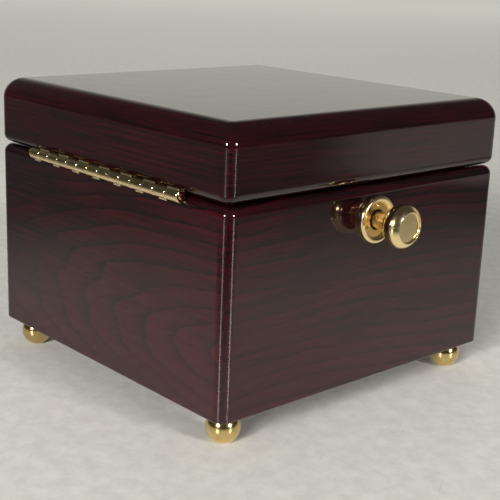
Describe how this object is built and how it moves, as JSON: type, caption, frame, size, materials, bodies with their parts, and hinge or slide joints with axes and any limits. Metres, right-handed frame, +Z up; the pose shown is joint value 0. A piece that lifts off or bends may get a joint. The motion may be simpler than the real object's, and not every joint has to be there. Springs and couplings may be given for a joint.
{
  "type": "wind-up music box",
  "caption": "Glossy dark wooden music box on brass ball feet, with a hinged lid, a brass winding knob on one side and a comb-and-cylinder movement under a pane.",
  "frame": {"origin": "on the table, under the middle of the case", "axes": "+Z up, -Y the front, +Y the hinge side, -X the side with the winding knob"},
  "size_m": [0.1417, 0.1302, 0.1006],
  "materials": {
    "lacquered_wood": "dark red-brown figured veneer under a mirror-gloss lacquer",
    "plain_wood": "plain stained wood",
    "spruce": "bare pale spruce",
    "polished_brass": "polished brass",
    "movement_brass": "satin brass",
    "steel": "ground steel",
    "spring_steel": "blued spring steel",
    "velvet": "dark red velvet",
    "glass": "clear flat glass",
    "rubber": "soft dark rubber"
  },
  "bodies": {
    "case": {"front_wall": "lacquered_wood", "right_wall": "lacquered_wood", "back_wall": "lacquered_wood", "left_wall": "lacquered_wood", "bottom_board": "plain_wood", "foot_front_left": "polished_brass", "foot_front_right": "polished_brass", "foot_back_left": "polished_brass", "foot_back_right": "polished_brass", "lid_bumpers": "rubber", "hinge_case_leaf": "polished_brass", "hinge_pin": "polished_brass", "escutcheon": "polished_brass", "escutcheon_pins": "polished_brass", "wall_bush": "movement_brass", "click_screw": "steel", "click_spring": "spring_steel", "comb": "steel", "comb_base": "movement_brass", "comb_screws": "steel", "left_cock": "movement_brass", "centre_cock": "movement_brass", "right_cock": "movement_brass", "governor_cock": "movement_brass", "bedplate": "movement_brass", "sound_board": "spruce", "plate_screws": "steel", "sound_board_cleats": "plain_wood", "partition": "plain_wood", "compartment_lining": "velvet", "pane_ledge": "plain_wood", "glass_pane": "glass", "stop_bracket": "movement_brass", "stop_pin": "steel", "stop_spring": "spring_steel"},
    "lid": {"lid_top_panel": "lacquered_wood", "lid_front_rail": "lacquered_wood", "lid_right_rail": "lacquered_wood", "lid_back_rail": "lacquered_wood", "lid_left_rail": "lacquered_wood", "lid_lining": "velvet", "hinge_lid_leaf": "polished_brass"},
    "winding": {"winding_knob": "polished_brass", "winding_arbor": "polished_brass", "ratchet_wheel": "steel"},
    "click": {"click": "steel"},
    "barrel": {"barrel_drum": "movement_brass", "barrel_cover": "movement_brass", "mainspring": "spring_steel"},
    "cylinder": {"pin_cylinder": "movement_brass", "cylinder_cap": "movement_brass", "cylinder_arbor": "steel", "cylinder_wheel": "movement_brass"},
    "train": {"train_arbor": "steel", "worm_wheel": "movement_brass"},
    "governor": {"governor_shaft": "steel", "governor_fan": "movement_brass"},
    "stop_lever": {"stop_lever": "movement_brass", "stop_push_rod": "steel"}
  },
  "joints": [
    {"name": "lid_hinge", "type": "hinge", "parent": "case", "child": "lid", "pos_m": [0, 0.0647, 0.077], "axis": [-1, 0, 0], "range_deg": [0, 100]},
    {"name": "knob_turn", "type": "hinge", "parent": "case", "child": "winding", "pos_m": [-0.0635, 0, 0.0655], "axis": [1, 0, 0], "range_deg": [0, 2520]},
    {"name": "click_lift", "type": "hinge", "parent": "case", "child": "click", "pos_m": [-0.053, 0.009, 0.0718], "axis": [-1, 0, 0], "range_deg": [0, 6], "stiffness_Nm_per_rad": 0.002, "springref_deg": -11.46, "deforming": ["click_spring"]},
    {"name": "cylinder_turn", "type": "hinge", "parent": "case", "child": "cylinder", "pos_m": [-0.0275, 0.0092, 0.0586], "axis": [1, 0, 0], "continuous": true},
    {"name": "barrel_turn", "type": "hinge", "parent": "case", "child": "barrel", "pos_m": [-0.047, 0, 0.0655], "axis": [1, 0, 0], "continuous": true},
    {"name": "train_turn", "type": "hinge", "parent": "case", "child": "train", "pos_m": [0.0215, -0.0003, 0.05533], "axis": [1, 0, 0], "continuous": true},
    {"name": "governor_turn", "type": "hinge", "parent": "case", "child": "governor", "pos_m": [0.0225, -0.0066, 0.06303], "axis": [0, 0, 1], "continuous": true},
    {"name": "stop_lift", "type": "hinge", "parent": "case", "child": "stop_lever", "pos_m": [0.0225, 0.045, 0.07103], "axis": [-1, 0, 0], "range_deg": [0, 3], "deforming": ["stop_spring"]}
  ],
  "couplings": [
    {"joint": "barrel_turn", "follows": "cylinder_turn", "ratio": -0.35294},
    {"joint": "train_turn", "follows": "cylinder_turn", "ratio": -4},
    {"joint": "governor_turn", "follows": "cylinder_turn", "ratio": -48},
    {"joint": "stop_lift", "follows": "lid_hinge", "ratio": 0.03}
  ]
}
